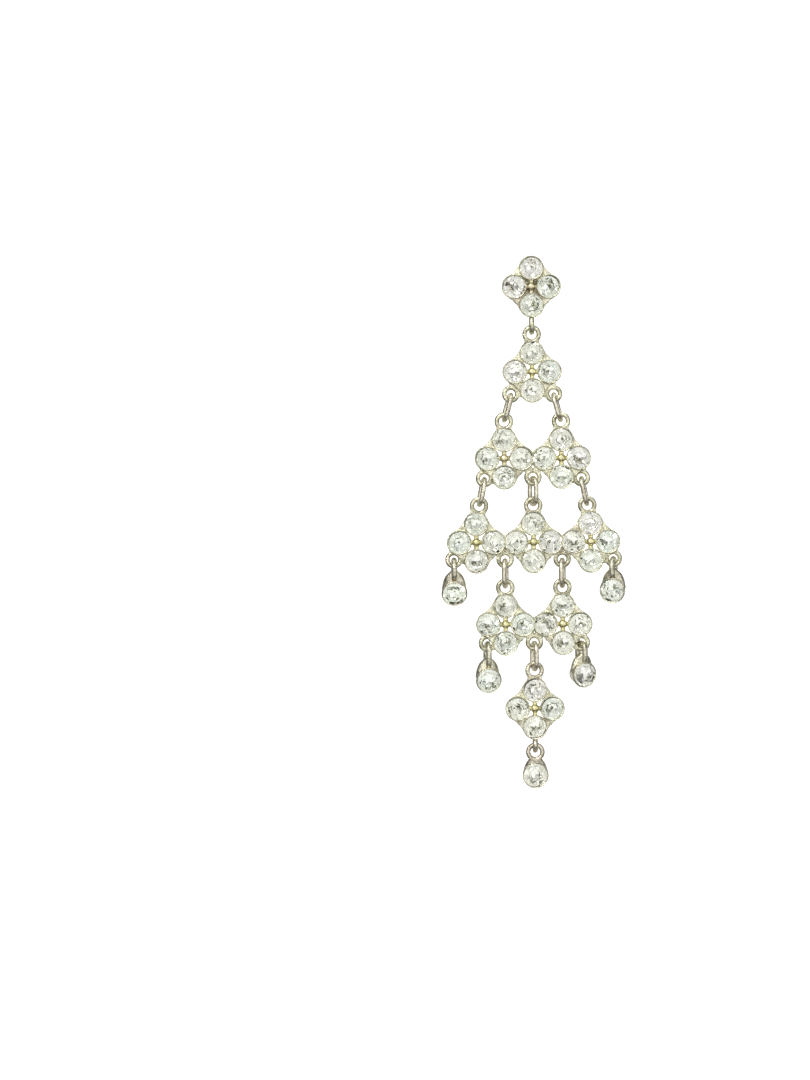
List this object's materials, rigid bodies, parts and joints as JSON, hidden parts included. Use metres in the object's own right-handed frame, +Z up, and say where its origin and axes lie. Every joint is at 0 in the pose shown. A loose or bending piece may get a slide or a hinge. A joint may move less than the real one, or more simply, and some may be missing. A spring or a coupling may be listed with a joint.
{
  "type": "chandelier earring",
  "caption": "Long chandelier earring: a stone-set stud with a hidden post, tiers of four-stone flowers hung on oval links, and single-stone drops on loops.",
  "frame": {"origin": "on the back face of the stud's post pad, on the post's axis, where the post goes into the ear lobe", "axes": "+Z up, -Y to the front where the stones face, +Y along the post away from the stones, +X to the right as seen from the front"},
  "size_m": [0.0308, 0.0147, 0.0892],
  "materials": {
    "metal": "cast and plated pale champagne gold, polished on the rims and dull in the recesses",
    "link": "plated wire, polished, a little warmer than the frames",
    "drop_metal": "plated cups, polished, slightly tarnished on their sides",
    "post": "plain steel ear post",
    "crystal": "clear cut rhinestone with a foiled back"
  },
  "bodies": {
    "stud": {"stud_frame": "metal", "stud_stones": "crystal", "ear_post": "post"},
    "tier_1": {"tier_1_frame": "metal", "tier_1_stones": "crystal", "tier_1_link_1": "link", "tier_1_link_2": "link"},
    "tier_2": {"tier_2_frame": "metal", "tier_2_stones_1": "crystal", "tier_2_stones_2": "crystal", "tier_2_link_1": "link", "tier_2_link_2": "link", "tier_2_link_3": "link"},
    "tier_3": {"tier_3_frame": "metal", "tier_3_stones_1": "crystal", "tier_3_stones_2": "crystal", "tier_3_stones_3": "crystal", "tier_3_link_1": "link", "tier_3_link_2": "link", "tier_3_drop_left_cup": "drop_metal", "tier_3_drop_left_stone": "crystal", "tier_3_drop_right_cup": "drop_metal", "tier_3_drop_right_stone": "crystal"},
    "tier_4": {"tier_4_frame": "metal", "tier_4_stones_1": "crystal", "tier_4_stones_2": "crystal", "tier_4_link_1": "link", "tier_4_drop_left_cup": "drop_metal", "tier_4_drop_left_stone": "crystal", "tier_4_drop_right_cup": "drop_metal", "tier_4_drop_right_stone": "crystal"},
    "tier_5": {"tier_5_frame": "metal", "tier_5_stones": "crystal", "tier_5_drop_cup": "drop_metal", "tier_5_drop_stone": "crystal"}
  },
  "joints": [
    {"name": "tier_1_swing", "type": "hinge", "parent": "stud", "child": "tier_1", "pos_m": [0, -0.00155, -0.0068], "axis": [1, 0, 0], "range_deg": [-75, 75]},
    {"name": "tier_2_swing", "type": "hinge", "parent": "tier_1", "child": "tier_2", "pos_m": [0, -0.00155, -0.02145], "axis": [1, 0, 0], "range_deg": [-40, 40]},
    {"name": "tier_3_swing", "type": "hinge", "parent": "tier_2", "child": "tier_3", "pos_m": [0, -0.00155, -0.0356], "axis": [1, 0, 0], "range_deg": [-40, 40]},
    {"name": "tier_4_swing", "type": "hinge", "parent": "tier_3", "child": "tier_4", "pos_m": [0, -0.00155, -0.0494], "axis": [1, 0, 0], "range_deg": [-40, 40]},
    {"name": "tier_5_swing", "type": "hinge", "parent": "tier_4", "child": "tier_5", "pos_m": [0, -0.00155, -0.06335], "axis": [1, 0, 0], "range_deg": [-40, 40]}
  ]
}
